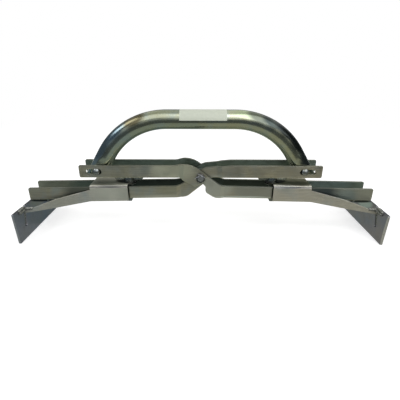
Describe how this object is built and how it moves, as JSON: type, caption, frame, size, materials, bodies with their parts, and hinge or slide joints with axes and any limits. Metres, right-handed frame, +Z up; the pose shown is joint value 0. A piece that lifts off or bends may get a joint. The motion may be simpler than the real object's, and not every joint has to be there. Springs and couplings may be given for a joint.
{
  "type": "paving slab lifter",
  "caption": "Scissor tongs with crossed pairs of flat arms, a bent tube handle and sliding jaws with wide blades, for lifting a slab by its edges.",
  "frame": {"origin": "on the ground midway between the blades, straight under the pivot bolt", "axes": "+X from blade to blade, to the right seen from the front; +Y away from the viewer along the pivot bolt; +Z up"},
  "size_m": [0.4908, 0.118, 0.1668],
  "materials": {
    "arm_plate": "olive tinted zinc plate on flat steel bar, satin",
    "jaw_sheet": "grey zinc plate on bent steel sheet, satin",
    "blade": "blue grey zinc plate, satin",
    "handle_tube": "yellow green chromated zinc plate on tube, glossy satin",
    "fastener": "bright zinc plate",
    "wing_nut": "grey zinc plate",
    "weld": "rough weld bead under zinc plate",
    "label": "plain white paper label, blank"
  },
  "bodies": {
    "pivot": {"pivot_bolt": "fastener", "pivot_nut": "fastener", "pivot_washer": "fastener", "pivot_spacer": "fastener"},
    "outer_arm": {"outer_arm_front": "arm_plate", "outer_arm_back": "arm_plate"},
    "inner_arm": {"inner_arm_front": "arm_plate", "inner_arm_back": "arm_plate"},
    "handle": {"handle_tube": "handle_tube", "handle_label": "label", "left_handle_pin": "fastener", "right_handle_pin": "fastener"},
    "left_jaw": {"left_jaw_body": "jaw_sheet", "left_blade": "blade", "left_weld_front": "weld", "left_weld_back": "weld", "left_clamp_bolt": "fastener", "left_clamp_washer": "fastener"},
    "right_jaw": {"right_jaw_body": "jaw_sheet", "right_blade": "blade", "right_weld_front": "weld", "right_weld_back": "weld", "right_clamp_bolt": "fastener", "right_clamp_washer": "fastener"},
    "left_wing_nut": {"left_wing_nut": "wing_nut"},
    "right_wing_nut": {"right_wing_nut": "wing_nut"}
  },
  "joints": [
    {"name": "tongs_close", "type": "hinge", "parent": "pivot", "child": "outer_arm", "pos_m": [0, 0, 0.0795], "axis": [0, 1, 0], "range_deg": [0, 15]},
    {"name": "inner_arm_turn", "type": "hinge", "parent": "pivot", "child": "inner_arm", "pos_m": [0, 0, 0.0795], "axis": [0, 1, 0], "range_deg": [-15, 0]},
    {"name": "handle_lift", "type": "slide", "parent": "pivot", "child": "handle", "axis": [0, 0, 1], "range_m": [0, 0.038]},
    {"name": "right_jaw_slide", "type": "slide", "parent": "outer_arm", "child": "right_jaw", "axis": [0.9998, 0, -0.0183], "range_m": [-0.06, 0.08]},
    {"name": "left_jaw_slide", "type": "slide", "parent": "inner_arm", "child": "left_jaw", "axis": [-0.9998, 0, -0.0183], "range_m": [-0.06, 0.08]},
    {"name": "right_wing_nut_turn", "type": "hinge", "parent": "right_jaw", "child": "right_wing_nut", "pos_m": [0.10038, 0, 0.07216], "axis": [0.0183, 0, 0.9998], "continuous": true},
    {"name": "left_wing_nut_turn", "type": "hinge", "parent": "left_jaw", "child": "left_wing_nut", "pos_m": [-0.10038, 0, 0.07216], "axis": [-0.0183, 0, 0.9998], "continuous": true}
  ],
  "couplings": [
    {"joint": "inner_arm_turn", "follows": "tongs_close", "ratio": -1},
    {"joint": "handle_lift", "follows": "tongs_close", "m_per_rad": 0.144}
  ]
}
